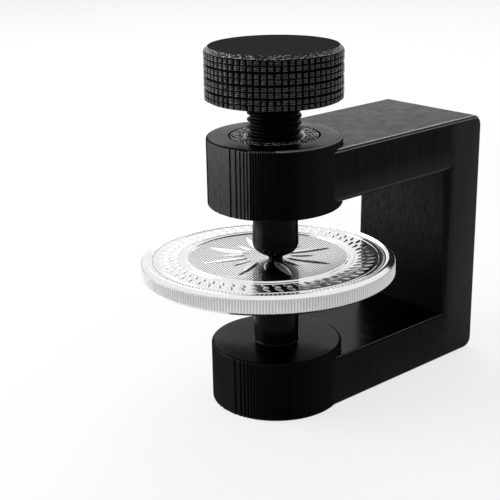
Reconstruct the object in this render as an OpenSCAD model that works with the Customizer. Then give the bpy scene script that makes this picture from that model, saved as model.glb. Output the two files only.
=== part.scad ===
// Coin ping clamp: a printed C-frame whose thumb screw pinches a coin between two points.
// The origin is on the clamp axis at the base. +X runs to the spine, +Z up.

/* [Frame] */
// Thickness of the frame from side face to side face
frame_w = 19.2; // [12:0.1:19.6]
// Height of the frame from its base to the top of the upper arm
frame_h = 40.3; // [36:0.1:60]
// Distance from the clamp axis to the inner face of the spine
throat = 28.5; // [24:0.1:45]
// Thickness of the spine
spine_t = 8; // [5:0.1:14]
// Height of the lower arm
foot_h = 7.9; // [5:0.1:10]
// Height of the upper arm
arm_h = 8.2; // [6:0.1:9]
// Radius of the two outer corners of the spine
corner_r = 1.7; // [1:0.1:5]
// Bevel along the outer edges of both side faces
edge_bevel = 0.45; // [0.1:0.05:1]
// Bevel along the edges of the window under the upper arm
arm_bevel = 1.3; // [0.1:0.05:2]
// Bevel along the edges of the window at the spine
spine_bevel = 0.85; // [0.1:0.05:2]
// Bevel along the edges of the window on the lower arm
foot_bevel = 0.5; // [0.1:0.05:2]

/* [Bosses] */
// Diameter of the two round bosses
boss_d = 20; // [20:0.1:26]
// How far the upper boss stands above the upper arm
boss_raise = 1.2; // [0.5:0.05:3]
// How far the upper boss hangs below the upper arm
boss_drop = 0.85; // [0.5:0.05:3]
// How far the lower boss stands above the lower arm
foot_boss_raise = 1.45; // [0.5:0.05:3]
// Bevel round the rims of the bosses
boss_bevel = 0.3; // [0.1:0.05:1]

/* [Threaded bush] */
// Outer diameter of the bush in the upper boss
bush_d = 13.4; // [11:0.1:16]
// Length of the bush, flush with the top of the boss
bush_len = 8; // [5:0.1:8.5]
// Glue line round the bush
bush_glue = 0.1; // [0.05:0.01:0.3]
// Bevel at the mouth of the bush
bush_bevel = 0.4; // [0.1:0.05:0.8]

/* [Clamp screw] */
// Outer diameter of the screw thread
thread_d = 8; // [6:0.1:9]
// Radial running clearance between the screw and the bush
thread_clearance = 0.05; // [0.02:0.01:0.1]
// Radial gap between the screw and the plain hole below the bush
hole_clearance = 0.3; // [0.2:0.05:0.5]
// Free screw between the boss and the knob while the coin is held
screw_free = 5.4; // [2:0.05:12]
// Depth of the socket that holds the screw in the knob
socket_depth = 5; // [3:0.1:6]
// Bevel at both ends of the thread
screw_bevel = 0.5; // [0.2:0.05:0.8]
// Gap of a pressed or glued round fit
press_gap = 0.02; // [0.01:0.01:0.05]

/* [Swivel] */
// Diameter of the journal under the screw that the upper point turns on
journal_d = 3.4; // [2.6:0.1:4]
// Length of the journal
journal_len = 3; // [2:0.1:3.4]
// How far the snap bead at the end of the journal stands out
bead_h = 0.2; // [0.1:0.05:0.3]
// Running clearance round the journal and its bead
journal_clearance = 0.08; // [0.03:0.01:0.1]
// Gap between the end of the thread and the top of the point
swivel_gap = 0.15; // [0.1:0.05:0.4]
// How deep the top of the upper point sits in the boss while the coin is held
point_inset = 0.8; // [0.3:0.1:1.2]

/* [Points] */
// Diameter of both points at the shoulder
point_d = 7; // [6.4:0.05:7.2]
// Diameter of both points away from the shoulder
neck_d = 6.75; // [6.2:0.05:6.9]
// Diameter of the flat nose
nose_d = 2.2; // [1:0.1:3]
// Height of the cylindrical land behind the nose
nose_land = 0.25; // [0.1:0.05:0.5]
// Height from the nose to the widest place of the shoulder
shoulder_h = 2.6; // [2:0.1:3.4]
// Radius of the rounded shoulder
shoulder_r = 1.7; // [1:0.1:2.2]
// Height of the lower point above its boss
post_h = 10.6; // [8:0.05:13]
// Radius of the fillet at the foot of the lower point
post_fillet = 0.6; // [0.3:0.1:1.2]
// Diameter of the spigot of the lower point in its boss
spigot_d = 5; // [3:0.1:6]
// Depth of the spigot of the lower point in its boss
spigot_len = 5; // [3:0.1:6]

/* [Knob] */
// Diameter of the knob over its knurl
knob_d = 20.2; // [17:0.1:30]
// Height of the knob
knob_h = 7.7; // [6.8:0.1:12]
// Width of the bevel round the top of the knob
knob_bevel_w = 0.55; // [0.3:0.05:1]
// Height of the bevel round the top of the knob
knob_bevel_h = 0.5; // [0.3:0.05:1]
// Number of flutes round the knob
flutes = 64; // [40:1:80]
// Depth of the flutes
flute_depth = 0.35; // [0.15:0.05:0.6]
// Share of the flute pitch that a block takes at its top
block_share = 0.52; // [0.4:0.02:0.58]
// Number of bands that the ring grooves divide the knurl into
bands = 4; // [2:1:5]
// Depth of the ring grooves
ring_depth = 0.5; // [0.2:0.05:0.8]
// Width of the ring grooves between the bands
ring_gap = 0.36; // [0.2:0.02:0.5]
// Width of the thin groove that halves each band
row_gap = 0.2; // [0.1:0.02:0.3]
// Radius of the fillet between the knob and the screw
hub_fillet = 0.7; // [0.3:0.05:1]

/* [Coin] */
// Diameter of the coin
coin_d = 38.6; // [30:0.1:44]
// Thickness of the coin over its rims
coin_t = 3; // [2.4:0.05:4]
// Width of the raised rim
rim_w = 1.1; // [0.6:0.05:2]
// Height of the rim above the field
rim_h = 0.25; // [0.1:0.05:0.4]
// Bevel at the edge of the coin
coin_bevel = 0.2; // [0.1:0.05:0.4]
// Number of reeds round the edge
reeds = 280; // [150:1:300]
// Depth of the reeds
reed_depth = 0.12; // [0.05:0.01:0.2]
// Step between the roots of the reeds and the bevels
milled_step = 0.03; // [0.02:0.01:0.1]
// Radius of the raised line round the middle of the coin
line_r = 12.2; // [8:0.1:13.5]
// Width of that line
line_w = 0.35; // [0.2:0.05:0.6]
// Height of that line above the field
line_h = 0.12; // [0.05:0.01:0.2]
// Where the middle of the coin lies from the clamp axis along X
coin_off_x = -0.25; // [-2:0.05:2]
// Where the middle of the coin lies from the clamp axis along Y
coin_off_y = 1.5; // [-2:0.05:2]
// Droop of the coin towards +X, in degrees
coin_droop_x = 0.95; // [-1.5:0.05:1.5]
// Droop of the coin towards +Y, in degrees
coin_droop_y = 1.2; // [-1.5:0.05:1.5]
// Gap left between each nose and the coin
pinch_gap = 0.05; // [0.04:0.01:0.1]

/* [Hidden] */
$fn = 96;
// Overshoot of a cut past the face that it opens
cut = 1;
half_w = frame_w / 2;
spine_x = throat + spine_t;
window_z0 = foot_h;
window_z1 = frame_h - arm_h;
low_boss_top = foot_h + foot_boss_raise;
top_boss_z0 = window_z1 - boss_drop;
top_boss_z1 = frame_h + boss_raise;
bush_z0 = top_boss_z1 - bush_len;
low_nose_z = low_boss_top + post_h;
coin_field_t = coin_t - 2 * rim_h;
coin_z = low_nose_z + pinch_gap + coin_field_t / 2;
top_nose_z = coin_z + coin_field_t / 2 + pinch_gap;
point_top_z = top_boss_z0 + point_inset;
point_len = point_top_z - top_nose_z;
screw_z0 = point_top_z + swivel_gap;
knob_z0 = top_boss_z1 + screw_free;
knurl_h = knob_h - knob_bevel_h;
band_h = knurl_h / bands;
row_h = (band_h - ring_gap - row_gap) / 2;
arc_steps = 8;

// Points of a circular arc from angle a0 to angle a1
function arc(cx, cy, r, a0, a1) =
    [for (i = [0:arc_steps]) let (a = a0 + (a1 - a0) * i / arc_steps) [cx + r * cos(a), cy + r * sin(a)]];

// Outline of a toothed disc: n teeth from radius r1 down to r0, each taking a share of its pitch
function toothed(r0, r1, n, share) =
    [for (i = [0:n - 1]) for (k = [[-0.84, r0], [-0.5, r1], [0.5, r1], [0.84, r0]])
        let (a = (i + k[0] * share) * 360 / n) [k[1] * cos(a), k[1] * sin(a)]];

// Outline of a milled edge: n ridges between radius r0 and radius r1
function milled(r0, r1, n) =
    [for (i = [0:2 * n - 1]) let (a = i * 180 / n, r = i % 2 == 0 ? r1 : r0) [r * cos(a), r * sin(a)]];

// Half outline of a point: flat nose at height 0, cone, rounded shoulder, then a slight taper to its top
function point_outline(len) =
    let (cx = point_d / 2 - shoulder_r,
         cy = shoulder_h,
         nose = [nose_d / 2, nose_land],
         dist = norm([cx, cy] - nose),
         touch = atan2(nose[1] - cy, nose[0] - cx) + acos(shoulder_r / dist))
    concat([[0, 0], [nose_d / 2, 0], nose], arc(cx, cy, shoulder_r, touch, 0), [[neck_d / 2, len]]);

module boss(z0, z1) {
    r = boss_d / 2;
    b = boss_bevel;
    rotate_extrude()
        polygon([[0, z0], [r - b, z0], [r, z0 + b], [r, z1 - b], [r - b, z1], [0, z1]]);
}

// Side view of the frame with its window closed
module side_outline() {
    square([spine_x - corner_r, frame_h]);
    translate([0, corner_r])
        square([spine_x, frame_h - 2 * corner_r]);
    for (z = [corner_r, frame_h - corner_r])
        translate([spine_x - corner_r, z])
            circle(r = corner_r);
}

// Prism along X that bevels the edges of the top and the base
module long_bevels() {
    a = half_w;
    b = edge_bevel;
    rotate([90, 0, 90])
        translate([0, 0, -cut])
            linear_extrude(spine_x + 2 * cut)
                polygon([[-a + b, 0], [a - b, 0], [a, b], [a, frame_h - b],
                         [a - b, frame_h], [-a + b, frame_h], [-a, frame_h - b], [-a, b]]);
}

// Prism along Z that bevels the edges of the back of the spine
module back_bevels() {
    a = half_w;
    b = edge_bevel;
    translate([0, 0, -cut])
        linear_extrude(frame_h + 2 * cut)
            polygon([[-cut, -a], [spine_x - b, -a], [spine_x, -a + b],
                     [spine_x, a - b], [spine_x - b, a], [-cut, a]]);
}

// Ring that carries the bevel round one outer corner of one side face
module corner_bevel(z) {
    translate([spine_x - corner_r, 0, z])
        rotate([90, 0, 0])
            rotate_extrude()
                polygon([[corner_r - edge_bevel - cut, half_w + cut], [corner_r + cut, half_w - edge_bevel - cut],
                         [corner_r + cut, half_w + cut]]);
}

// Window between the arms, flared by its bevels at both side faces
module window() {
    b = half_w + cut;
    spine_y = half_w - spine_bevel;
    foot_y = half_w - foot_bevel;
    arm_y = half_w - arm_bevel;
    spine_flare = throat + spine_bevel + cut;
    foot_flare = window_z0 - foot_bevel - cut;
    arm_flare = window_z1 + arm_bevel + cut;
    intersection() {
        linear_extrude(frame_h)
            polygon([[-cut, -b], [spine_flare, -b], [throat, -spine_y], [throat, spine_y], [spine_flare, b], [-cut, b]]);
        rotate([90, 0, 90])
            translate([0, 0, -cut])
                linear_extrude(spine_x)
                    polygon([[-b, foot_flare], [-foot_y, window_z0], [foot_y, window_z0], [b, foot_flare],
                             [b, arm_flare], [arm_y, window_z1], [-arm_y, window_z1], [-b, arm_flare]]);
    }
}

module c_frame() {
    color("#1d1d1f")
        difference() {
            union() {
                difference() {
                    intersection() {
                        rotate([90, 0, 0])
                            translate([0, 0, -half_w])
                                linear_extrude(frame_w)
                                    side_outline();
                        long_bevels();
                        back_bevels();
                    }
                    for (z = [corner_r, frame_h - corner_r]) {
                        corner_quarter(z);
                        mirror([0, 1, 0])
                            corner_quarter(z);
                    }
                    window();
                }
                boss(0, low_boss_top);
                boss(top_boss_z0, top_boss_z1);
            }
            translate([0, 0, bush_z0])
                cylinder(d = bush_d + 2 * bush_glue, h = bush_len + cut);
            translate([0, 0, top_boss_z0 - cut])
                cylinder(d = thread_d + 2 * hole_clearance, h = top_boss_z1 - top_boss_z0);
            translate([0, 0, low_boss_top - spigot_len])
                cylinder(d = spigot_d + 2 * press_gap, h = spigot_len + cut);
        }
}

// The bevel ring cut down to the quarter that lies outside both straight edges
module corner_quarter(z) {
    up = z > frame_h / 2 ? 0 : -1;
    intersection() {
        corner_bevel(z);
        translate([spine_x - corner_r, -half_w - cut, z + up * (corner_r + cut)])
            cube([corner_r + cut, half_w + cut, corner_r + cut]);
    }
}

module threaded_bush() {
    r = thread_d / 2 + thread_clearance;
    b = bush_bevel;
    color("#77777a")
        rotate_extrude()
            polygon([[r, bush_z0], [bush_d / 2, bush_z0], [bush_d / 2, top_boss_z1],
                     [r + b, top_boss_z1], [r, top_boss_z1 - b]]);
}

module lower_point() {
    r = neck_d / 2;
    foot = arc(r + post_fillet, post_fillet, post_fillet, 180, 270);
    body = [for (p = point_outline(post_h - post_fillet)) [p[0], post_h - p[1]]];
    color("#0c0c0d")
        translate([0, 0, low_boss_top])
            rotate_extrude()
                polygon(concat(body, [for (i = [1:arc_steps]) foot[i]],
                               [[spigot_d / 2, 0], [spigot_d / 2, -spigot_len], [0, -spigot_len]]));
}

module coin() {
    r = coin_d / 2;
    core = r - reed_depth;
    h = coin_t / 2;
    f = coin_field_t / 2;
    rim = r - rim_w;
    step = rim_h / 2;
    shoulder = core - milled_step;
    top = [[shoulder, h - coin_bevel], [shoulder - coin_bevel, h], [rim, h], [rim - step, f],
           [line_r + line_w / 2, f], [line_r + line_w / 2, f + line_h],
           [line_r - line_w / 2, f + line_h], [line_r - line_w / 2, f], [0, f]];
    n = len(top);
    color("#d9d9db")
        translate([0, 0, coin_z])
            rotate([-coin_droop_y, coin_droop_x, 0])
                translate([coin_off_x, coin_off_y, 0]) {
                    rotate_extrude()
                        polygon(concat(top, [for (i = [0:n - 1]) [top[n - 1 - i][0], -top[n - 1 - i][1]]]));
                    translate([0, 0, coin_bevel - h])
                        linear_extrude(coin_t - 2 * coin_bevel)
                            difference() {
                                polygon(milled(core, r, reeds));
                                circle(r = rim);
                            }
                }
}

module upper_point() {
    r = journal_d / 2 + journal_clearance;
    g = bead_h;
    bottom = point_len - journal_len - swivel_gap;
    groove = bottom + 2 * swivel_gap + 2 * g + journal_clearance;
    color("#0c0c0d")
        translate([0, 0, top_nose_z])
            rotate_extrude()
                polygon(concat(point_outline(point_len),
                               [[r, point_len], [r, groove + g], [r + g, groove], [r + g, bottom], [0, bottom]]));
}

module clamp_screw() {
    r = thread_d / 2;
    j = journal_d / 2;
    b = screw_bevel;
    top = knob_z0 + socket_depth;
    z0 = screw_z0;
    end = z0 - journal_len;
    color("#111112")
        rotate_extrude()
            polygon([[0, end], [j, end], [j + bead_h, end + bead_h], [j + bead_h, end + 2 * bead_h],
                     [j, end + 3 * bead_h], [j, z0], [r - b, z0], [r, z0 + b], [r, top - b], [r - b, top], [0, top]]);
}

// One row of knurl blocks with its lower face at height z
module knurl_row(z) {
    translate([0, 0, z])
        linear_extrude(row_h)
            polygon(toothed(knob_d / 2 - flute_depth, knob_d / 2, flutes, block_share));
}

module knob() {
    r = knob_d / 2;
    hub = thread_d / 2 + press_gap;
    fillet = arc(hub + hub_fillet + 0.1, -hub_fillet, hub_fillet, 90, 180);
    color("#1a1a1b")
        translate([0, 0, knob_z0])
            difference() {
                union() {
                    rotate_extrude()
                        polygon(concat([[0, -hub_fillet]], [for (i = [0:arc_steps]) fillet[arc_steps - i]],
                                       [[r - ring_depth, 0], [r - ring_depth, knurl_h - ring_gap / 2],
                                        [r - 0.1, knurl_h - ring_gap / 2], [r - 0.1, knurl_h],
                                        [r - 0.1 - knob_bevel_w, knob_h], [0, knob_h]]));
                    for (i = [0:bands - 1]) {
                        knurl_row(i * band_h);
                        knurl_row(i * band_h + row_h + row_gap);
                    }
                }
                translate([0, 0, -hub_fillet - cut])
                    cylinder(r = hub, h = socket_depth + hub_fillet + cut);
            }
}

c_frame();
threaded_bush();
lower_point();
coin();
upper_point();
clamp_screw();
knob();
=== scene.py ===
import math

import bmesh
import bpy
import numpy as np
from mathutils import Matrix, Vector


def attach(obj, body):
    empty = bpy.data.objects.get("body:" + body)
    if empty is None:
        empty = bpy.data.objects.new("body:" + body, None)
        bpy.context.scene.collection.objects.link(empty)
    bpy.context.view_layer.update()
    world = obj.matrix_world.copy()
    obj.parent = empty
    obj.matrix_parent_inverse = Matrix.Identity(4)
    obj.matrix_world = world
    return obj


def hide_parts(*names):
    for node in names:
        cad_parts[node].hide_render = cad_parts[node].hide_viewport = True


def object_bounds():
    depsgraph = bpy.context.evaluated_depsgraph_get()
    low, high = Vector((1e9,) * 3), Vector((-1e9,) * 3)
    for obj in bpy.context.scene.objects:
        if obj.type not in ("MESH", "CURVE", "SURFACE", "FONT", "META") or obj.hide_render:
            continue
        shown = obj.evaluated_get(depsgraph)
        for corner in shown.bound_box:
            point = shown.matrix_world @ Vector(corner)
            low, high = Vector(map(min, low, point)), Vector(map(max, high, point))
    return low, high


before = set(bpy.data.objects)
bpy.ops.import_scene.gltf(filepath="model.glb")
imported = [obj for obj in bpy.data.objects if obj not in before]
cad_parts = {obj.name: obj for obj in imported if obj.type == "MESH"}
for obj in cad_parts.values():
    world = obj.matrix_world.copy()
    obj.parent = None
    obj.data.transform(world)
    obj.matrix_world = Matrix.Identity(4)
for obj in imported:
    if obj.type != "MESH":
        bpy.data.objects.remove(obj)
cad_low, cad_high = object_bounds()
mm = 0.001

# ---------------------------------------------------------------- studio
# A plain pale floor and a white surround stand for a light table. Two soft boxes, one low at the
# left and one above and behind, draw the long highlights on the black print, and the front stays dim.

camera_azimuth = math.radians(-42.693)
camera_distance = 162.97 * mm
camera_height = 80.05 * mm
camera_heading = camera_azimuth + math.radians(1.357)
camera_pitch = math.radians(-19.052)
camera_roll = math.radians(-1.016)
focal_pixels = 1142.8
picture_pixels = 500
sensor_width = 36.0

camera_data = bpy.data.cameras.new("camera")
camera_data.sensor_width = sensor_width
camera_data.lens = focal_pixels / picture_pixels * sensor_width
camera_data.clip_start = 1 * mm
camera = bpy.data.objects.new("camera", camera_data)
bpy.context.scene.collection.objects.link(camera)
bpy.context.scene.camera = camera
ahead = Vector((-math.sin(camera_heading) * math.cos(camera_pitch),
                math.cos(camera_heading) * math.cos(camera_pitch),
                math.sin(camera_pitch)))
level_right = Vector((math.cos(camera_heading), math.sin(camera_heading), 0))
level_up = level_right.cross(ahead)
right = level_right * math.cos(camera_roll) + level_up * math.sin(camera_roll)
placed = Matrix((right, right.cross(ahead), -ahead)).transposed().to_4x4()
placed.translation = (math.sin(camera_azimuth) * camera_distance,
                      -math.cos(camera_azimuth) * camera_distance,
                      camera_height)
camera.matrix_world = placed


def add_node(tree, kind, inputs=None, **settings):
    """Adds a node to a tree, with its settings and its inputs, which are values or other outputs."""
    made = tree.nodes.new(kind)
    for key, value in settings.items():
        setattr(made, key, value)
    for key, value in (inputs or {}).items():
        if isinstance(value, bpy.types.NodeSocket):
            tree.links.new(value, made.inputs[key])
        else:
            made.inputs[key].default_value = value
    return made


def calc(tree, operation, *terms):
    """One Math node over one to three terms, as an output."""
    return add_node(tree, "ShaderNodeMath", dict(enumerate(terms)), operation=operation).outputs[0]


def ramp(tree, value, start=0.0, stop=1.0, low=0.0, high=1.0):
    """Goes from low to high while a value goes from start to stop, and holds beyond them."""
    return add_node(tree, "ShaderNodeMapRange", {"Value": value, "From Min": start, "From Max": stop,
                                                 "To Min": low, "To Max": high}).outputs["Result"]


def rgb(shade):
    """A grey from one number, or a colour as it is, with full opacity."""
    return (shade, shade, shade, 1) if isinstance(shade, float) else (*shade, 1)


def new_finish(name, colour, roughness, **sockets):
    """A Principled material. Extra settings go by socket name, with spaces as underscores."""
    made = bpy.data.materials.new(name)
    made.use_nodes = True
    shader = made.node_tree.nodes["Principled BSDF"]
    shader.inputs["Base Color"].default_value = rgb(colour)
    shader.inputs["Roughness"].default_value = roughness
    for key, value in sockets.items():
        shader.inputs[key.replace("_", " ")].default_value = value
    return made, made.node_tree, shader


def seen_directly(tree):
    """1 for what the camera, a reflection or clear glass sees, and 0 for light that falls on things."""
    path = add_node(tree, "ShaderNodeLightPath").outputs
    seen = calc(tree, "MAXIMUM", path["Is Camera Ray"], path["Is Glossy Ray"])
    return calc(tree, "MAXIMUM", seen, path["Is Transmission Ray"])


surround_light = 0.45
world = bpy.data.worlds.new("surround")
bpy.context.scene.world = world
world.use_nodes = True
background = world.node_tree.nodes["Background"]
background.inputs["Color"].default_value = rgb(1.0)
strength = ramp(world.node_tree, seen_directly(world.node_tree), low=surround_light)
world.node_tree.links.new(strength, background.inputs["Strength"])


def soft_box(name, place, target, size, watts):
    """A square area lamp at a place, aimed at a point on the object."""
    data = bpy.data.lights.new(name, "AREA")
    data.size = size
    data.energy = watts
    lamp = bpy.data.objects.new(name, data)
    bpy.context.scene.collection.objects.link(lamp)
    lamp.visible_camera = False
    lamp.location = place
    lamp.rotation_mode = "QUATERNION"
    lamp.rotation_quaternion = (Vector(target) - Vector(place)).to_track_quat("-Z", "Y")


middle = (cad_low + cad_high) / 2
soft_box("left_box", (-0.26, 0.28, 0.07), middle, size=0.34, watts=2.6)
soft_box("top_box", (0.22, 0.24, 0.36), middle, size=0.40, watts=1.1)

floor_reach = 4.0
floor_glow = 0.75
floor_mesh = bpy.data.meshes.new("floor")
floor_corners = [(x * floor_reach, y * floor_reach, 0) for x, y in ((-1, -1), (1, -1), (1, 1), (-1, 1))]
floor_mesh.from_pydata(floor_corners, [], [(0, 1, 2, 3)])
floor = bpy.data.objects.new("floor", floor_mesh)
bpy.context.scene.collection.objects.link(floor)
floor_paint, tree, shader = new_finish("floor_white", 0.90, 0.9, Specular_IOR_Level=0.0)
glow = add_node(tree, "ShaderNodeEmission", {"Color": rgb(1.0), "Strength": 1.0})
mixed = add_node(tree, "ShaderNodeMixShader", {"Fac": calc(tree, "MULTIPLY", seen_directly(tree), floor_glow),
                                               1: shader.outputs[0], 2: glow.outputs[0]})
tree.links.new(mixed.outputs[0], tree.nodes["Material Output"].inputs["Surface"])
floor_mesh.materials.append(floor_paint)

# ---------------------------------------------------------------- C-frame
# One black print, made lying on its spine, so its 0.2 mm layers stack along X. Round walls show them
# as steps that widen towards the crest, flat walls as fine lines. The bosses take the bush and the post.

layer = 0.2 * mm
boss_radius = 10.0 * mm
boss_bevel = 0.35 * mm
low_boss = (0.0, 9.35 * mm)
top_boss = (31.25 * mm, 41.5 * mm)
half_width = 9.6 * mm
frame_height = 40.3 * mm
throat = 28.5 * mm
spine_outside = 36.5 * mm
window = (7.9 * mm, 32.1 * mm)
corner_radius = 1.7 * mm
edge_bevel = 0.45 * mm
arm_bevel = 1.3 * mm
spine_bevel = 1.105 * mm
foot_bevel = 0.5 * mm
bush_pocket = (6.8 * mm, 33.5 * mm)
screw_hole_radius = 4.3 * mm
spigot_pocket = (2.52 * mm, 4.35 * mm)
clear = 1 * mm


def new_piece(name, points, faces, sharp_angle=30):
    """A mesh object with smooth faces, whose edges above an angle stay sharp."""
    mesh = bpy.data.meshes.new(name)
    mesh.from_pydata([tuple(p) for p in points], [], faces)
    mesh.validate()
    mesh.shade_smooth()
    mesh.set_sharp_from_angle(angle=math.radians(sharp_angle))
    made = bpy.data.objects.new(name, mesh)
    bpy.context.scene.collection.objects.link(made)
    return made


def fill_rows(rows, columns, closed_ends=True):
    """Faces between rows of points that each run once round, with the first and last row closed."""
    quads = []
    for this in range(0, (rows - 1) * columns, columns):
        for c in range(columns):
            after = (c + 1) % columns
            quads.append((this + c, this + after, this + columns + after, this + columns + c))
    if closed_ends:
        quads.append(tuple(range(columns - 1, -1, -1)))
        quads.append(tuple(range((rows - 1) * columns, rows * columns)))
    return quads


def printed_outline(radius, seed):
    """Plan of a round wall laid down in flat layers square to X, each with a rounded edge."""
    chance = np.random.default_rng(seed)
    layer_edge = [(0.06, 0.032 * mm), (0.28, 0.004 * mm), (0.72, 0.004 * mm), (0.94, 0.032 * mm)]
    wander = 0.012 * mm
    side = []
    for k in range(round(2 * radius / layer)):
        x = -radius + k * layer
        width = math.sqrt(radius ** 2 - (x + layer / 2) ** 2) - chance.uniform(0, wander)
        side += [(x + share * layer, width - dip) for share, dip in layer_edge]
    return [(x, -y) for x, y in side] + [(x, y) for x, y in reversed(side)]


def printed_drum(name, bottom, top, seed):
    """A solid boss whose wall shows its layers, with a bevel at each rim."""
    plan = np.array(printed_outline(boss_radius, seed))
    bevel = [(boss_bevel * (1 - math.sin(turn)), 1 - boss_bevel / boss_radius * (1 - math.cos(turn)))
             for turn in np.radians((0, 18, 36, 54, 72, 90))]
    rows = [(bottom + up, share) for up, share in bevel[::-1]] + [(top - up, share) for up, share in bevel]
    points = [(x * share, y * share, z) for z, share in rows for x, y in plan]
    return new_piece(name, points, fill_rows(len(rows), len(plan)))


def corner(centre, start, steps=10):
    """Quarter circle of the outer corners in the side view, as places and outward directions."""
    angles = [math.radians(start + 90 * i / steps) for i in range(steps + 1)]
    return [(centre[0] + corner_radius * math.cos(a), centre[1] + corner_radius * math.sin(a),
             math.cos(a), math.sin(a)) for a in angles]


def frame_block(name):
    """The C seen from its side, pulled to its width, with a bevel along every long edge."""
    inner = spine_outside - corner_radius
    outside = ([(0, 0, 0, -1)] + corner((inner, corner_radius), -90)
               + corner((inner, frame_height - corner_radius), 0) + [(0, frame_height, 0, 1)])
    inside = [(0, window[1], 0, arm_bevel, arm_bevel),
              (throat, window[1], spine_bevel, arm_bevel, arm_bevel),
              (throat, window[0], foot_bevel, -foot_bevel, foot_bevel),
              (0, window[0], 0, -foot_bevel, foot_bevel)]
    chamfer = [(1, 0), (0.84, 0.05), (0.70, 0.16), (0.45, 0.42), (0.20, 0.66), (0.06, 0.82), (0, 1)]
    quarter = np.radians(np.linspace(0, 90, len(chamfer)))
    rounding = [(1 - math.sin(a), 1 - math.cos(a)) for a in quarter]
    points = []
    for side, order in ((-1, 1), (1, -1)):
        for (inset, fall), (inner_inset, inner_fall) in list(zip(chamfer, rounding))[::order]:
            points += [(x - nx * edge_bevel * inset, side * (half_width - edge_bevel * fall),
                        z - nz * edge_bevel * inset) for x, z, nx, nz in outside]
            points += [(x + across * inner_inset, side * (half_width - deep * inner_fall),
                        z + along * inner_inset) for x, z, across, along, deep in inside]
    return new_piece(name, points, fill_rows(2 * len(chamfer), len(outside) + len(inside)))


def cylinder(name, radius, bottom, top, steps=128):
    """A plain cylinder on the clamp axis, used as a cutter."""
    points = [(radius * math.cos(a), radius * math.sin(a), z)
              for z in (bottom, top) for a in np.linspace(0, 2 * math.pi, steps, endpoint=False)]
    return new_piece(name, points, fill_rows(2, steps))


def settle(made, name=None):
    """Turns an object and its modifiers into a plain mesh object, and removes the old one."""
    graph = bpy.context.evaluated_depsgraph_get()
    mesh = bpy.data.meshes.new_from_object(made.evaluated_get(graph))
    name = name or made.name
    bpy.data.objects.remove(made)
    mesh.name = name
    plain = bpy.data.objects.new(name, mesh)
    bpy.context.scene.collection.objects.link(plain)
    return plain


def carve(made, tools, operation):
    """Adds other solids to a piece or cuts them from it."""
    for tool in tools:
        change = made.modifiers.new(tool.name, "BOOLEAN")
        change.operation = operation
        change.solver = "EXACT"
        change.object = tool
    made = settle(made)
    for tool in tools:
        bpy.data.objects.remove(tool)
    return made


print_body = carve(frame_block("c_frame_print"), [
    printed_drum("low_drum", *low_boss, seed=3),
    printed_drum("top_drum", *top_boss, seed=8)], "UNION")
print_body = carve(print_body, [
    cylinder("bush_cut", bush_pocket[0], bush_pocket[1], top_boss[1] + clear),
    cylinder("screw_cut", screw_hole_radius, top_boss[0] - clear, bush_pocket[1] + clear),
    cylinder("spigot_cut", spigot_pocket[0], spigot_pocket[1], low_boss[1] + clear)], "DIFFERENCE")
print_body.data.shade_smooth()
print_body.data.set_sharp_from_angle(angle=math.radians(28))


def object_place(tree):
    """Where a point lies on the object."""
    return add_node(tree, "ShaderNodeTexCoord").outputs["Object"]


def noise(tree, place, scale, detail, **more):
    """Cloudy noise between 0 and 1."""
    return add_node(tree, "ShaderNodeTexNoise",
                    {"Vector": place, "Scale": scale, "Detail": detail, **more}).outputs["Fac"]


def mapped(tree, place, **how):
    """A place that is moved, turned or stretched."""
    return add_node(tree, "ShaderNodeMapping", {"Vector": place, **how}).outputs[0]


def waves(tree, place, pitch, direction, distortion=0.0, ripple=1.0):
    """Soft stripes of a given pitch."""
    scale = 2 * math.pi / (20 * pitch)
    return add_node(tree, "ShaderNodeTexWave",
                    {"Vector": place, "Scale": scale, "Distortion": distortion, "Detail Scale": ripple},
                    bands_direction=direction).outputs["Fac"]


def emboss(tree, shader, height, depth):
    """Fine relief of a surface."""
    bump = add_node(tree, "ShaderNodeBump", {"Height": height, "Strength": 1.0, "Distance": depth})
    tree.links.new(bump.outputs["Normal"], shader.inputs["Normal"])


def mottle(tree, shader, factor, dark, light):
    """Slow change of colour between two shades of the same material."""
    shades = add_node(tree, "ShaderNodeMix", {"Factor": factor, "A": rgb(dark), "B": rgb(light)},
                      data_type="RGBA").outputs["Result"]
    tree.links.new(shades, shader.inputs["Base Color"])


def layer_lines(tree, shader, axis, pitch, depth, roughness, uneven=0.35):
    """Relief and uneven gloss of stacked layers of a print, square to one axis."""
    grain_share = 0.35
    gloss_spread = 0.07
    place = object_place(tree)
    lines = waves(tree, place, pitch, axis, uneven, ripple=0.4)
    grain = noise(tree, place, scale=9000.0, detail=3.0)
    patches = noise(tree, place, scale=420.0, detail=4.0, Roughness=0.6)
    emboss(tree, shader, calc(tree, "MULTIPLY_ADD", grain, grain_share, lines), depth)
    gloss = ramp(tree, patches, 0.3, 0.7, roughness - gloss_spread, roughness + gloss_spread)
    tree.links.new(gloss, shader.inputs["Roughness"])
    return place, patches


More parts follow.
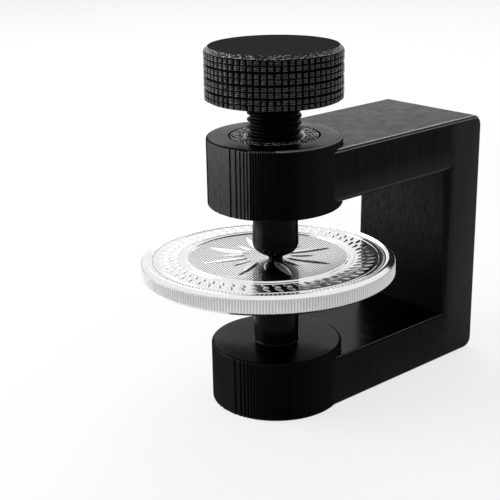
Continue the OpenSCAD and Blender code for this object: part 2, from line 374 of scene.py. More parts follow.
def layered_wall(name, gloss, dark, light, paler_from=28.4 * mm, paler_to=30.6 * mm, foot_low=1 * mm,
                 foot_high=9 * mm, hem_share=0.0, streaks=0.15, relief=0.006 * mm, roughness=0.45):
    """Wall of the print whose layers run up it, faintly streaked. It is paler along X (painted light), darker
    towards its foot (painted shade) and lighter in a hem just above the window (painted highlight).
    """
    foot_shade = 0.3
    hem_height = 4 * mm
    made, tree, shader = new_finish(name, light, roughness, Specular_IOR_Level=gloss)
    place, patches = layer_lines(tree, shader, "X", layer, relief, roughness)
    streak = noise(tree, mapped(tree, place, Scale=(1.0, 0.04, 0.04)), scale=1500.0, detail=3.0)
    streak = ramp(tree, streak, 0.35, 0.65, high=streaks)
    spot = add_node(tree, "ShaderNodeSeparateXYZ", {0: place}).outputs
    # Painted light: paler along X. Painted shade: darker towards the foot.
    paler = ramp(tree, spot["X"], paler_from, paler_to, high=1 - streaks)
    shade = calc(tree, "MULTIPLY", paler, ramp(tree, spot["Z"], foot_low, foot_high, low=foot_shade))
    # Painted highlight: a lighter hem on the wall just above the window's top edge.
    hem = ramp(tree, spot["Z"], window[1] + hem_height, window[1] + arm_bevel, high=hem_share)
    hem = calc(tree, "MULTIPLY", hem, calc(tree, "GREATER_THAN", spot["Z"], window[1]))
    mottle(tree, shader, calc(tree, "ADD", streak, calc(tree, "MAXIMUM", shade, hem)), dark, light)
    return made


def raster_face(name, gloss, dark, light, raster_share, depth, foot_share=0.05):
    """Flat of the print that the nozzle filled in with slanting lines, more or less plain to see."""
    roughness = 0.42
    nozzle_width = 0.42 * mm
    raster_slant = math.radians(45)
    made, tree, shader = new_finish(name, light, roughness, Specular_IOR_Level=gloss)
    place, patches = layer_lines(tree, shader, "X", layer, 0.004 * mm, roughness)
    leaning = mapped(tree, place, Rotation=(raster_slant, 0, 0))
    raster = waves(tree, leaning, nozzle_width, "Z", distortion=0.6, ripple=0.5)
    rough = noise(tree, mapped(tree, place, Scale=(1.0, 1.0, 0.35)), scale=2200.0, detail=3.0)
    spot = add_node(tree, "ShaderNodeSeparateXYZ", {0: place}).outputs
    share = ramp(tree, spot["Y"], 5 * mm, -8 * mm, low=0.3 * raster_share, high=raster_share)
    both = add_node(tree, "ShaderNodeMix", {0: share, 2: ramp(tree, rough, 0.2, 0.8), 3: raster}).outputs[0]
    emboss(tree, shader, both, depth)
    # Painted shade: darker towards the bottom, from 23 mm down to 13 mm, down to the foot share.
    upper = ramp(tree, spot["Z"], 13 * mm, 23 * mm, low=foot_share)
    mottle(tree, shader, calc(tree, "MULTIPLY", both, upper), dark, light)
    return made


def ironed_edge(name, gloss, dark, light):
    """Rounded edge of the print, smoother than its walls and mottled between two given shades. Light shades
    paint highlights along the edge.
    """
    roughness = 0.25
    made, tree, shader = new_finish(name, light, roughness, Specular_IOR_Level=gloss)
    place, patches = layer_lines(tree, shader, "X", layer, 0.002 * mm, roughness)
    mottle(tree, shader, patches, dark, light)
    return made


print_finishes = {
    # Painted light on the spine's side, painted shade low down, and a painted highlight in the hem.
    "wall": layered_wall("printed_black", gloss=0.036, dark=(0.0006, 0.0006, 0.0007),
                         light=(0.0220, 0.0220, 0.0224), hem_share=0.62),
    # Painted light, paler towards +X, and painted shade, darker towards the bottom.
    "boss": layered_wall("printed_black_boss", gloss=0.018, dark=0.0003, light=(0.0150, 0.0150, 0.0153),
                         paler_from=-7 * mm, paler_to=7 * mm, foot_low=5 * mm, foot_high=30 * mm),
    "top": layered_wall("printed_black_top", gloss=0.09, dark=0.003, light=(0.0080, 0.0080, 0.0082)),
    "boss_top": layered_wall("printed_black_boss_top", gloss=0.030, dark=0.001,
                             light=(0.0050, 0.0050, 0.0052)),
    # Painted shade: the level faces at the bosses and on the lower arm, under the knob, the upper arm and the
    # coin, are a darker, duller black than the upper arm's top.
    "flat": layered_wall("printed_black_flat", gloss=0.033, dark=0.0003, light=0.0015, relief=0.001 * mm,
                         roughness=0.22),
    "crest": raster_face("printed_black_crest", gloss=0.12, dark=0.001, light=0.032, raster_share=0.15,
                         depth=0.02 * mm),
    # Painted shade: the spine's inner face darkens towards the lower arm.
    "inner": raster_face("printed_black_inner", gloss=0.03, dark=0.0005, light=0.023, raster_share=0.42,
                         depth=0.006 * mm),
    "soft": ironed_edge("printed_black_soft", gloss=0.016, dark=0.003, light=0.012),
    # Painted highlight: the rounded top edge of the window is a lighter black than the walls.
    "hem": ironed_edge("printed_black_hem", gloss=0.05, dark=0.012, light=0.035),
    "edge": ironed_edge("printed_black_edge", gloss=0.12, dark=0.003, light=0.008),
    # Painted highlights: light lines along rounded edges, edge_top the brighter.
    "edge_top": ironed_edge("printed_black_edge_top", gloss=0.55, dark=0.24, light=0.46),
    "edge_side": ironed_edge("printed_black_edge_side", gloss=0.40, dark=0.06, light=0.17),
    "bed": raster_face("printed_black_bed", gloss=0.04, dark=0.001, light=0.018, raster_share=0.5,
                       depth=0.006 * mm, foot_share=1.0)}


def print_finish_of(face, corners):
    """Which finish a face of the print has, by where it lies and which way it looks."""
    slack = 0.05 * mm
    level = 0.99
    across, along, up = (abs(v) for v in face.normal)
    x, y, z = face.center
    at_bosses = all(math.hypot(spot.x, spot.y) < boss_radius + slack for spot in corners)
    low = z < window[0] + throat / 2
    end = x / boss_radius
    if across > 0.97 and end > 0:
        return "bed" if x > spine_outside - clear else "inner"
    if across > 0.97:
        return "crest" if end < -0.89 and not low else "boss_top"
    # Painted shade: level faces at the bosses and low down take the darker flat finish.
    if up > level:
        return "flat" if at_bosses or low else "top"
    if at_bosses and up < 0.1:
        return "boss"
    if at_bosses:
        # Painted highlight: the front of the upper boss's top bevel takes the edge finishes instead of
        # boss_top, the light edge_side towards +X.
        painted_glint = z > top_boss[1] - boss_bevel and y < -0.25 * boss_radius and 0.2 < up < 0.9 and end > -0.9
        return "boss_top" if not painted_glint else "edge_side" if end > -0.66 else "edge"
    if not 0.1 < along < level:
        return "wall"
    # Painted highlights: two light lines along the rounded top edges, edge_top above and edge_side below,
    # with the plain dark edge between.
    if z > frame_height - corner_radius:
        return "edge" if 0.68 < along < 0.75 else "edge_top" if along < 0.7 else "edge_side"
    # Painted highlight: a light line along the rounded edges of the lower arm's top.
    if face.normal.z > 0.9 and low:
        return "edge_side"
    # Painted highlight on the rounded edges of the window's top, which face down.
    return "hem" if face.normal.z < -0.35 and z > window[1] - 2 * slack else "soft"


print_body.data.materials.clear()
for finish in print_finishes.values():
    print_body.data.materials.append(finish)
finish_numbers = {name: number for number, name in enumerate(print_finishes)}
for face in print_body.data.polygons:
    corners = [print_body.data.vertices[i].co for i in face.vertices]
    face.material_index = finish_numbers[print_finish_of(face, corners)]
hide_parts("c_frame")
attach(print_body, "frame")

# ---------------------------------------------------------------- threaded bush
# A round insert glued into the upper boss. It is a black print too, and the glassy grains of its
# unsmoothed top make it look speckled grey. Its bore has the thread of the screw, cut a little wider.

thread_pitch = 1.0 * mm
thread_radius = 4.0 * mm
thread_depth = 0.44 * mm
thread_slack = 0.10 * mm
thread_crest = 0.12
thread_flank = 0.72
turn_steps = 96
bush_radius = 6.7 * mm
bush_bottom = bush_pocket[1]
bush_top = top_boss[1]
bush_bevel = 0.4 * mm
bush_mouth = thread_radius + bush_bevel
bush_face = bush_top - 0.06 * mm
glue_width = 0.25 * mm
glue_start = bush_radius - glue_width
grain_radius = 0.27 * mm
grain_height = 0.152 * mm
grain_count = 620


def thread_wall(z, angle):
    """Radius of a right-hand thread with rounded crests and roots."""
    phase = (z / thread_pitch - angle / (2 * math.pi)) % 1.0
    slope = np.clip((np.abs(phase - 0.5) * 2 - thread_crest) / thread_flank, 0, 1)
    return thread_radius - thread_depth * slope * slope * (3 - 2 * slope)


def turned(name, rows, steps, sharp_angle=30, closed=True, loop=False):
    """A solid of revolution: each row is a height and a radius, which may be one for every angle."""
    angles = np.linspace(0, 2 * math.pi, steps, endpoint=False)
    points = [(r * math.cos(a), r * math.sin(a), z)
              for z, radius in rows for a, r in zip(angles, np.broadcast_to(radius, steps))]
    faces = fill_rows(len(rows), steps, closed)
    if loop:
        last = (len(rows) - 1) * steps
        faces += [(last + c, last + (c + 1) % steps, (c + 1) % steps, c) for c in range(steps)]
    return new_piece(name, points, faces, sharp_angle)


def dome(name, radius, height, sink, sides=10):
    """A low round dome, sunk a little into what it stands on."""
    rows = [(-sink, radius), (0.1 * height, radius), (0.7 * height, radius * 0.75), (height, radius * 0.3)]
    return turned(name, rows, sides, sharp_angle=60)


def new_tree(name, numbers):
    """A geometry tree that repeats a piece, with its inputs and its output."""
    tree = bpy.data.node_groups.new(name, "GeometryNodeTree")
    tree.interface.new_socket(name="Piece", in_out="INPUT", socket_type="NodeSocketObject")
    tree.interface.new_socket(name="Finish", in_out="INPUT", socket_type="NodeSocketMaterial")
    for label, value in numbers.items():
        kind = "NodeSocketInt" if isinstance(value, int) else "NodeSocketFloat"
        tree.interface.new_socket(name=label, in_out="INPUT", socket_type=kind).default_value = value
    tree.interface.new_socket(name="Geometry", in_out="OUTPUT", socket_type="NodeSocketGeometry")
    given = add_node(tree, "NodeGroupInput").outputs
    return tree, given, add_node(tree, "NodeGroupOutput").inputs["Geometry"]


def random_number(tree, least, most, seed, step=0):
    """A random value for each place, from the tree's seed moved on by a step."""
    if step:
        seed = calc(tree, "ADD", seed, float(step))
    return add_node(tree, "FunctionNodeRandomValue", {2: least, 3: most, "Seed": seed},
                    data_type="FLOAT").outputs[1]


def stand_round(tree, given, result, count, radius, turn, level, facing, size):
    """Stands the tree's piece at places given by radius, turn and level, as one mesh in its finish."""
    points = add_node(tree, "GeometryNodeMeshLine", {"Count": count}).outputs["Mesh"]
    spot = add_node(tree, "ShaderNodeCombineXYZ", {
        "X": calc(tree, "MULTIPLY", calc(tree, "COSINE", turn), radius),
        "Y": calc(tree, "MULTIPLY", calc(tree, "SINE", turn), radius), "Z": level}).outputs[0]
    moved = add_node(tree, "GeometryNodeSetPosition", {"Geometry": points, "Position": spot}).outputs[0]
    placed = add_node(tree, "GeometryNodeInstanceOnPoints", {
        "Points": moved, "Scale": size,
        "Instance": add_node(tree, "GeometryNodeObjectInfo", {"Object": given["Piece"]}).outputs["Geometry"],
        "Rotation": add_node(tree, "ShaderNodeCombineXYZ", {"Z": facing}).outputs[0]}).outputs[0]
    real = add_node(tree, "GeometryNodeRealizeInstances", {"Geometry": placed}).outputs[0]
    painted = add_node(tree, "GeometryNodeSetMaterial", {"Geometry": real, "Material": given["Finish"]})
    tree.links.new(painted.outputs[0], result)


def grow(name, tree, values):
    """Runs a geometry tree with the given inputs and returns its result as a plain mesh object."""
    host = bpy.data.objects.new(name + "_host", bpy.data.meshes.new(name + "_host"))
    bpy.context.scene.collection.objects.link(host)
    change = host.modifiers.new(name, "NODES")
    change.node_group = tree
    labels = {item.name: item.identifier for item in tree.interface.items_tree if item.in_out == "INPUT"}
    for label, value in values.items():
        change[labels[label]] = value
    return settle(host, name)


angles = np.linspace(0, 2 * math.pi, turn_steps, endpoint=False)
bush_rows = []
for z in np.arange(bush_bottom, bush_top - 1e-9, thread_pitch / 10):
    if z < bush_face:
        bush_rows.append((z, np.maximum(thread_wall(z, angles) + thread_slack, bush_mouth - (bush_top - z))))
bush_rows += [(bush_face, bush_mouth), (bush_face, glue_start),
              (bush_face, bush_radius), (bush_bottom, bush_radius)]
bush = turned("bush_insert", bush_rows[::-1], turn_steps, closed=False, loop=True)

grey_print, tree, shader = new_finish("speckled_grey", 0.01, 0.10, Specular_IOR_Level=0.8)
fine = noise(tree, object_place(tree), 2200.0, 2.0, Roughness=0.6)
mottle(tree, shader, ramp(tree, fine, 0.42, 0.66), 0.0003, 0.012)
emboss(tree, shader, fine, 0.14 * mm)
glue, tree, shader = new_finish("glue_black", 0.001, 0.6, Specular_IOR_Level=0.0)
mottle(tree, shader, noise(tree, object_place(tree), 1200.0, 2.0), 0.0004, 0.003)

grain_tree, given, result = new_tree("rough_face", {
    "Count": grain_count, "Inner": bush_mouth, "Outer": glue_start, "Level": 0.0, "Seed": 3})
tree, seed = grain_tree, given["Seed"]
inner_area = calc(tree, "POWER", given["Inner"], 2.0)
outer_area = calc(tree, "POWER", given["Outer"], 2.0)
reach = calc(tree, "SQRT", random_number(tree, inner_area, outer_area, seed))
turn = random_number(tree, 0.0, 2 * math.pi, seed, 1)
facing = random_number(tree, 0.0, 2 * math.pi, seed, 2)
size = add_node(tree, "ShaderNodeCombineXYZ", {
    "X": random_number(tree, 0.6, 1.0, seed, 3), "Y": random_number(tree, 0.5, 1.0, seed, 4),
    "Z": random_number(tree, 0.4, 1.0, seed, 5)}).outputs[0]
stand_round(tree, given, result, given["Count"], reach, turn, given["Level"], facing, size)
grain = dome("grain", grain_radius, grain_height, 0.02 * mm, sides=7)
grains = grow("bush_grains", grain_tree, {
    "Piece": grain, "Finish": grey_print, "Count": grain_count, "Inner": bush_mouth + grain_radius,
    "Outer": glue_start - grain_radius / 2, "Level": bush_face, "Seed": 3})
bpy.data.objects.remove(grain)

for finish in (grey_print, glue):
    bush.data.materials.append(finish)
for face in bush.data.polygons:
    if face.normal.z > 0.9 and math.hypot(face.center.x, face.center.y) > glue_start:
        face.material_index = 1
for piece in (bush, grains):
    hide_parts("threaded_bush")
    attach(piece, "frame")

# ---------------------------------------------------------------- points
# Two glossy moulded pins with the same flat nose, cone and rounded shoulder. The lower one stands in
# its boss on a filleted foot, and the upper one turns on the journal of the screw.

point_radius = 3.5 * mm
neck_radius = 3.375 * mm
nose_radius = 1.1 * mm
nose_land = 0.25 * mm
nose_round = 0.08 * mm
shoulder_height = 2.6 * mm
shoulder_radius = 1.7 * mm
foot_fillet = 0.25 * mm
top_nose = 22.55 * mm
low_nose = 19.95 * mm
point_top = 32.05 * mm
socket_radius = 1.78 * mm
socket_depth = 3.15 * mm
spigot_radius = 2.5 * mm
spigot_bottom = spigot_pocket[1]


def arc(centre, radius, start, stop, steps):
    """Points of a circular arc, in degrees."""
    turns = np.radians(np.linspace(start, stop, steps))
    return [(centre[0] + radius * math.cos(a), centre[1] + radius * math.sin(a)) for a in turns]


def point_outline():
    """Half outline of a point from its nose to its shoulder, as radius and height."""
    centre = Vector((point_radius - shoulder_radius, shoulder_height))
    reach = Vector((nose_radius, nose_land)) - centre
    touch = math.degrees(math.atan2(reach.y, reach.x) + math.acos(shoulder_radius / reach.length))
    nose = [(nose_radius * 0.5, 0), (nose_radius - nose_round, 0),
            (nose_radius - 0.3 * nose_round, 0.3 * nose_round),
            (nose_radius, nose_round), (nose_radius, nose_land)]
    return nose + arc(centre, shoulder_radius, touch, 0, 14)


length = point_top - top_nose
upper = point_outline() + [(neck_radius, length), (socket_radius, length),
                           (socket_radius, length - socket_depth)]
upper_pin = turned("upper_pin", [(top_nose + h, r) for r, h in upper], 128)
height = low_nose - low_boss[1]
foot = [(r, height - h) for r, h in arc((neck_radius + foot_fillet, foot_fillet), foot_fillet, 180, 270, 8)]
lower = point_outline() + foot + [(spigot_radius, height), (spigot_radius, low_nose - spigot_bottom)]
lower_pin = turned("lower_pin", [(low_nose - h, r) for r, h in lower[::-1]], 128)

gloss_black, tree, shader = new_finish("glossy_black", 0.002, 0.16, Specular_IOR_Level=0.05)
place = object_place(tree)
swirl = noise(tree, place, 700.0, 3.0)
tree.links.new(ramp(tree, swirl, low=0.10, high=0.26), shader.inputs["Roughness"])
emboss(tree, shader, waves(tree, place, 0.12 * mm, "Z", 0.4), 0.0012 * mm)
mottle(tree, shader, swirl, 0.0008, 0.0020)
for pin, node, body in ((upper_pin, "upper_point", "screw_point"), (lower_pin, "lower_point", "frame")):
    pin.data.materials.append(gloss_black)
    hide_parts(node)
    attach(pin, body)

# ---------------------------------------------------------------- clamp screw
# A printed M8 rod of 1 mm pitch. Its journal under the thread snaps into the upper point, and its
# top is glued into the knob.

screw_bottom = 32.2 * mm
screw_top = 51.9 * mm
screw_bevel = 0.5 * mm
journal_radius = 1.7 * mm
journal_length = 3.0 * mm
bead = 0.2 * mm
knob_bottom = 46.9 * mm
row_step = thread_pitch / 12

start = screw_bottom - journal_length
screw_rows = [(start, journal_radius), (start + bead, journal_radius + bead),
              (start + 2 * bead, journal_radius + bead), (start + 3 * bead, journal_radius),
              (screw_bottom, journal_radius)]
for z in np.arange(screw_bottom, knob_bottom + row_step, row_step):
    lead = thread_radius - screw_bevel + (z - screw_bottom)
    screw_rows.append((z, np.minimum(thread_wall(z, angles), lead)))
screw_rows += [(screw_top - screw_bevel, thread_radius), (screw_top, thread_radius - screw_bevel)]
screw = turned("screw_rod", screw_rows, turn_steps, sharp_angle=50)
black_screw, tree, shader = new_finish("screw_black", 0.002, 0.4, Specular_IOR_Level=0.02)
place, patches = layer_lines(tree, shader, "Z", layer, 0.004 * mm, 0.36, uneven=0.6)
mottle(tree, shader, patches, 0.0005, 0.0020)
screw.data.materials.append(black_screw)
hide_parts("clamp_screw")
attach(screw, "thumb_screw")

# ---------------------------------------------------------------- knob
# Printed on its smooth top. The knurl is a grid of small raised blocks, 64 round and 8 high, which
# three deeper ring grooves divide into four bands. A fillet joins it to the screw.

knob_radius = 10.1 * mm
knob_height = 7.7 * mm
knob_bevel_width = 0.55 * mm
knob_bevel_height = 0.5 * mm
flutes = 64
bands = 4
flute_depth = 0.35 * mm
ring_depth = 0.5 * mm
ring_gap = 0.30 * mm
row_gap = 0.12 * mm
groove_bevel = 0.06 * mm
hub_radius = 4.02 * mm
hub_fillet = 0.7 * mm
hub_step = 0.1 * mm
socket_top = 5.0 * mm
core_radius = knob_radius - flute_depth
groove_radius = knob_radius - ring_depth
shelf = knob_radius - 0.1 * mm
knurl_start = 0.16 * mm
knurl_height = knob_height - knob_bevel_height
band_height = knurl_height / bands
row_height = (band_height - ring_gap - row_gap) / 2
block_depth = 0.5 * mm
block_width = 0.72 * 2 * math.pi * knob_radius / flutes

profile = [(hub_radius, socket_top), (hub_radius, -hub_fillet)]
profile += arc((hub_radius + hub_fillet + hub_step, -hub_fillet), hub_fillet, 180, 90, 8)
profile += [(core_radius - 0.15 * mm, 0), (core_radius, 0.1 * mm)]
for i in range(bands):
    top = knurl_start + (i + 1) * band_height - ring_gap
    profile += [(core_radius, top), (groove_radius, top + groove_bevel),
                (groove_radius, top + ring_gap - groove_bevel), (core_radius, top + ring_gap)]
profile = profile[:-2] + [(groove_radius, knurl_height - groove_bevel),
                          (shelf - groove_bevel, knurl_height - groove_bevel),
                          (shelf, knurl_height - 0.02 * mm)]
profile = [(h, r) for r, h in profile]
rim_steps = 4 * flutes
rim_turns = np.arange(rim_steps) * 2 * math.pi / rim_steps
notch = 0.10 * mm * (0.5 - 0.5 * np.cos(rim_turns * flutes))
chance = np.random.default_rng(21)
for share in (0, 0.25, 0.5, 0.75, 1):
    ragged = notch * (1 - share) + chance.uniform(-0.05, 0.03, rim_steps) * mm * (1 if share < 1 else 0.3)
    rise = knob_bevel_height * share ** 1.2
    profile.append((knurl_height + rise, shelf - knob_bevel_width * share - ragged))
profile.append((knob_height, shelf - knob_bevel_width - 0.4 * mm))
knob_core = turned("knob_core", [(knob_bottom + h, r) for h, r in profile], rim_steps, sharp_angle=25)


def knurl_block(name, depth, width, height, layers=3):
    """One block of the knurl, of three printed layers with rounded edges, centred on its own middle."""
    front, dip, corner_cut = depth / 2, 0.07 * mm, 0.10 * mm
    rows = []
    for i in range(layers):
        bottom = -height / 2 + i * height / layers
        rows += [(bottom, dip), (bottom + 0.25 * height / layers, 0), (bottom + 0.75 * height / layers, 0)]
    rows.append((height / 2, 2 * dip))
    rows[0] = (-height / 2, 2 * dip)
    points = []
    for z, in_by in rows:
        half, face, side = width / 2 - in_by, front - in_by, front - in_by - corner_cut
        points += [(-front, -half, z), (side, -half, z), (face, -half + corner_cut, z),
                   (face, half - corner_cut, z), (side, half, z), (-front, half, z)]
    return new_piece(name, points, fill_rows(len(rows), 6), sharp_angle=50)


knurl_tree, given, result = new_tree("knurl", {
    "Flutes": flutes, "Rows": 2 * bands, "Radius": knob_radius, "Bottom": 0.0, "Row height": row_height,
    "Row gap": row_gap, "Band height": band_height, "Seed": 5})
tree = knurl_tree
around = calc(tree, "DIVIDE", add_node(tree, "GeometryNodeInputIndex").outputs[0], given["Flutes"])
row = calc(tree, "FLOOR", around)
band = calc(tree, "FLOOR", calc(tree, "DIVIDE", row, 2.0))
upper_row = calc(tree, "MODULO", row, 2.0)
rise = calc(tree, "ADD", given["Row height"], given["Row gap"])
level = calc(tree, "MULTIPLY_ADD", given["Row height"], 0.5, given["Bottom"])
level = calc(tree, "MULTIPLY_ADD", band, given["Band height"], level)
level = calc(tree, "MULTIPLY_ADD", upper_row, rise, level)
turn = calc(tree, "MULTIPLY", around, 2 * math.pi)
uneven = add_node(tree, "FunctionNodeRandomValue", {
    "Min": (0.80, 0.76, 0.86), "Max": (1.0, 1.18, 1.06), "Seed": given["Seed"]},
    data_type="FLOAT_VECTOR").outputs[0]
count = calc(tree, "MULTIPLY", given["Flutes"], given["Rows"])
stand_round(tree, given, result, count, given["Radius"], turn, level, turn, uneven)


def painted_glints(tree, shader, place, scale, least, dark, light):
    """Painted glints: bright specks in the colour of the knob, as flat as its layers."""
    specks = noise(tree, mapped(tree, place, Scale=(1.0, 1.0, 3.0)), scale, detail=2.0)
    mottle(tree, shader, ramp(tree, specks, least, least + 0.10), dark, light)


# The knurl blocks and the top bevel carry painted glints.
black_knob, tree, shader = new_finish("knob_black", 0.005, 0.20, Specular_IOR_Level=0.48)
place, patches = layer_lines(tree, shader, "Z", layer, 0.006 * mm, 0.22)
painted_glints(tree, shader, place, scale=1700.0, least=0.50, dark=0.0005, light=0.040)
knob_groove, tree, shader = new_finish("knob_groove", 0.001, 0.5, Specular_IOR_Level=0.02)
place, patches = layer_lines(tree, shader, "Z", layer, 0.006 * mm, 0.5)
mottle(tree, shader, patches, 0.0010, 0.0030)
knob_rim, tree, shader = new_finish("knob_rim", 0.01, 0.25, Specular_IOR_Level=0.16)
place, patches = layer_lines(tree, shader, "Z", layer, 0.006 * mm, 0.25)
painted_glints(tree, shader, place, scale=2300.0, least=0.52, dark=0.003, light=0.32)
knob_top, tree, shader = new_finish("knob_top_smooth", 0.028, 0.6, Specular_IOR_Level=0.0)
mottle(tree, shader, noise(tree, object_place(tree), 300.0, 5.0), 0.027, 0.029)

block = knurl_block("block", block_depth, block_width, row_height)
knurl = grow("knurl_blocks", knurl_tree, {
    "Piece": block, "Finish": black_knob, "Flutes": flutes, "Rows": 2 * bands,
    "Radius": knob_radius - block_depth / 2, "Bottom": knob_bottom + knurl_start,
    "Row height": row_height, "Row gap": row_gap, "Band height": band_height})
bpy.data.objects.remove(block)
for finish in (knob_groove, knob_rim, knob_top):
    knob_core.data.materials.append(finish)
on_rim, on_top = 1, 2
for face in knob_core.data.polygons:
    height = face.center.z - knob_bottom
    if height > knurl_height - 0.05 * mm:
        face.material_index = on_top if height > knob_height - 0.02 * mm else on_rim
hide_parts("knob")
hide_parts("knob")
for piece in (knob_core, knurl):
    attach(piece, "thumb_screw")

# ---------------------------------------------------------------- coin
# A one-ounce silver round with a mirror field, a milled edge and a frosted relief of its own: beads,
# a laurel border and an eight-petalled rosette over a fine lattice. It hangs a little off its middle.

coin_radius = 19.3 * mm
coin_half = 1.5 * mm
field_half = 1.25 * mm
coin_bevel = 0.2 * mm
coin_height = 21.25 * mm
coin_offset = (-0.25 * mm, 1.5 * mm)
coin_droop = (math.radians(0.95), math.radians(1.2))
reeds = 280
reed_steps = 4
reed_depth = 0.12 * mm
rim_inner = coin_radius - 1.1 * mm
rim_profile = [(-0.46, -0.25), (-0.22, -0.20), (0.02, -0.06), (0.12, 0.0), (0.30, -0.005), (0.36, -0.03),
               (0.40, -0.06), (0.42, -0.076), (0.91, -0.46)]
line_radius = 12.2 * mm
line_width = 0.35 * mm
line_height = 0.12 * mm
fine_lines = (13.1 * mm, 16.85 * mm)
fine_line_profile = [(-0.09, 0.0), (-0.05, 0.06), (0.05, 0.06), (0.09, 0.0)]
field_rings = (0.4, 1.2, 2.6, 4.2, 6.0, 8.0, 10.0)
milling_start = 0.55 * mm
milling_full = (0.60 * mm, 0.62 * mm)

seat = (Matrix.Translation((0, 0, coin_height)) @ Matrix.Rotation(coin_droop[0], 4, "Y")
        @ Matrix.Rotation(-coin_droop[1], 4, "X") @ Matrix.Translation((*coin_offset, 0)))
half = [(r * mm, field_half) for r in field_rings]
half += [(line_radius - line_width / 2, field_half),
         (line_radius - line_width * 0.3, field_half + line_height),
         (line_radius + line_width * 0.3, field_half + line_height),
         (line_radius + line_width / 2, field_half)]
half += [(13.0 * mm, field_half)]
for radius in fine_lines:
    half += [(radius + out * mm, field_half + up * mm) for out, up in fine_line_profile]
half += [(rim_inner + out * mm, coin_half + up * mm) for out, up in rim_profile]
columns = reeds * reed_steps
milled = coin_radius - reed_depth * (0.5 - 0.5 * np.cos(2 * math.pi * np.arange(columns) / reed_steps))
half += [(coin_radius - 0.6 * reed_depth, coin_half - milling_start)]
half += [(milled, coin_half - down) for down in milling_full]
rows = [(-h, r) for r, h in half] + [(0.0, milled)] + [(h, r) for r, h in half[::-1]]
blank = turned("coin_blank", rows, columns, sharp_angle=40)
blank.data.transform(seat)


def leaf(name, length, width, height, sink, stations=7):
    """A pointed leaf with a raised midrib, lying along X from its stem at the origin."""
    rows = []
    for i in range(stations):
        t = i / (stations - 1)
        half = width / 2 * max(math.sin(math.pi * t ** 0.8) ** 0.75, 0.06)
        crown = height * max(math.sin(math.pi * t ** 0.8) ** 0.4, 0.15)
        section = [(-half, -sink), (-0.55 * half, 0.62 * crown), (-0.08 * half, crown)]
        rows += [(t * length, y, z) for y, z in section] + [(t * length, -y, z) for y, z in section[::-1]]
    return new_piece(name, rows, [tuple(reversed(f)) for f in fill_rows(stations, 6)], sharp_angle=60)


ring_tree, given, result = new_tree("ring_of_ornaments", {
    "Count": 12, "Radius": 0.01, "First turn": 0.0, "Lean": 0.0, "Size spread": 0.0, "Seed": 1})
tree = ring_tree
share = calc(tree, "DIVIDE", add_node(tree, "GeometryNodeInputIndex").outputs[0], given["Count"])
turn = calc(tree, "MULTIPLY_ADD", share, 2 * math.pi, given["First turn"])
facing = calc(tree, "ADD", turn, given["Lean"])
size = random_number(tree, calc(tree, "SUBTRACT", 1.0, given["Size spread"]), 1.0, given["Seed"])
stand_round(tree, given, result, given["Count"], given["Radius"], turn, 0.0, facing, size)


def silver(name, roughness, shade):
    """Silver whose gloss wavers a little. The field is a mirror and the relief is frosted."""
    made, tree, shader = new_finish(name, shade, roughness, Metallic=1.0)
    place = object_place(tree)
    haze = noise(tree, place, 900.0, 4.0)
    tree.links.new(ramp(tree, haze, 0.3, 0.7, roughness * 0.7, roughness * 1.3), shader.inputs["Roughness"])
    return made, tree, shader, place


silver_bright, tree, shader, place = silver("silver_bright", 0.09, 0.83)
silver_rim, tree, shader, place = silver("silver_rim", 0.12, 0.83)

silver_frosted, tree, shader, place = silver("silver_frosted", 0.34, 0.64)
# Painted shade: the frosted relief is darker where it slopes, which outlines each ornament.
normal = add_node(tree, "ShaderNodeNewGeometry").outputs["Normal"]
facing_up = calc(tree, "ABSOLUTE", add_node(tree, "ShaderNodeSeparateXYZ", {0: normal}).outputs["Z"])
mottle(tree, shader, ramp(tree, facing_up, 0.80, 0.985), 0.46, 0.76)
emboss(tree, shader, noise(tree, place, 14000.0, 2.0), 0.006 * mm)

# Painted shade: the milled edge is a darker silver than the faces, darker still in the valleys of its reeds.
silver_edge, tree, shader, place = silver("silver_edge", 0.35, 0.62)
centred = mapped(tree, place, Location=tuple(-v for v in seat.translation))
flat = add_node(tree, "ShaderNodeVectorMath", {0: centred, 1: (1, 1, 0)}, operation="MULTIPLY").outputs[0]
out = add_node(tree, "ShaderNodeVectorMath", {0: flat}, operation="LENGTH").outputs["Value"]
mottle(tree, shader, ramp(tree, out, coin_radius - 0.10 * mm, coin_radius - 0.02 * mm), 0.50, 0.68)

lattice_pitch = 0.40 * mm
lattice_radius = 11.9 * mm
lattice_turns = (-115, -159)
silver_lattice, tree, shader, place = silver("silver_lattice", 0.09, 0.80)
turned_places = [mapped(tree, place, Rotation=(0, 0, math.radians(turn))) for turn in lattice_turns]
lines = [waves(tree, turned_place, lattice_pitch, "X") for turned_place in turned_places]
# The lattice is engraved into the field; the dark colour of its lines is painted shade.
engraved = ramp(tree, calc(tree, "MINIMUM", *lines), 0.10, 0.60)
mottle(tree, shader, engraved, 0.22, 0.82)
emboss(tree, shader, engraved, 0.012 * mm)

for finish in (silver_bright, silver_edge, silver_lattice, silver_rim):
    blank.data.materials.append(finish)
on_edge, on_lattice, on_rim = 1, 2, 3
unseat = seat.inverted()
for face in blank.data.polygons:
    spot = unseat @ face.center
    reach = math.hypot(spot.x, spot.y)
    if abs(spot.z) < coin_half - coin_bevel and reach > coin_radius - coin_bevel:
        face.material_index = on_edge
    elif reach < lattice_radius:
        face.material_index = on_lattice
    elif reach > rim_inner + 0.05 * mm:
        face.material_index = on_rim


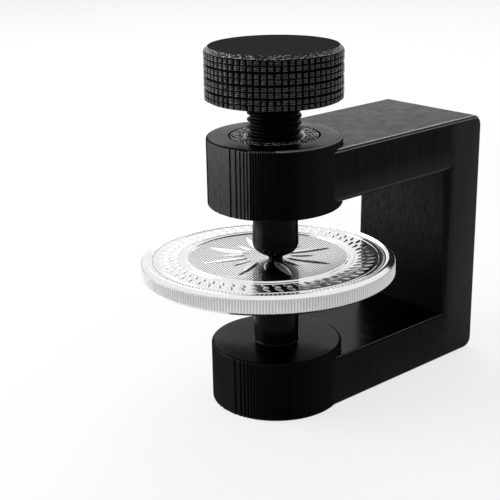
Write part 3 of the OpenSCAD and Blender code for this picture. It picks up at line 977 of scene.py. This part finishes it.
def ornament_ring(name, ornament, count, radius, first=0.0, lean=0.0, spread=0.0):
    """A ring of one ornament round the middle of the coin, with its angles in degrees."""
    return grow(name, ring_tree, {
        "Piece": ornament, "Finish": silver_frosted, "Count": count, "Radius": radius,
        "First turn": math.radians(first), "Lean": math.radians(lean), "Size spread": spread, "Seed": 4})


sink = 0.03 * mm
laurel = leaf("laurel_leaf", 1.9 * mm, 0.85 * mm, 0.16 * mm, sink)
petal = leaf("petal", 7.0 * mm, 1.5 * mm, 0.2 * mm, sink, stations=13)
sepal = leaf("sepal", 3.6 * mm, 0.8 * mm, 0.14 * mm, sink, stations=11)
berry = dome("berry", 0.24 * mm, 0.14 * mm, sink)
border_bead = dome("border_bead", 0.17 * mm, 0.10 * mm, sink)
relief = [
    ornament_ring("beads", border_bead, 180, 17.55 * mm),
    ornament_ring("outer_leaves", laurel, 56, 14.9 * mm, lean=38.0, spread=0.12),
    ornament_ring("inner_leaves", laurel, 56, 14.9 * mm, first=3.2, lean=-142.0, spread=0.12),
    ornament_ring("berries", berry, 56, 14.55 * mm, first=1.6, spread=0.15),
    ornament_ring("petals", petal, 8, 3.2 * mm, first=22.5),
    ornament_ring("sepals", sepal, 8, 3.4 * mm)]
for ornament in (laurel, petal, sepal, berry, border_bead):
    bpy.data.objects.remove(ornament)

shape = bmesh.new()
for ring in relief:
    for turn_over in (Matrix.Identity(4), Matrix.Rotation(math.pi, 4, "X")):
        copy = ring.data.copy()
        copy.transform(seat @ turn_over @ Matrix.Translation((0, 0, field_half)))
        shape.from_mesh(copy)
        bpy.data.meshes.remove(copy)
    bpy.data.objects.remove(ring)
mesh = bpy.data.meshes.new("coin_relief")
shape.to_mesh(mesh)
shape.free()
coin_relief = bpy.data.objects.new("coin_relief", mesh)
bpy.context.scene.collection.objects.link(coin_relief)
mesh.materials.append(silver_frosted)
for piece in (blank, coin_relief):
    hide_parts("coin")
    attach(piece, "coin")

# ---------------------------------------------------------------- view
# Brings the scene up to date and sets the Standard view transform.

bpy.context.view_layer.update()

bpy.context.scene.view_settings.view_transform = "Standard"
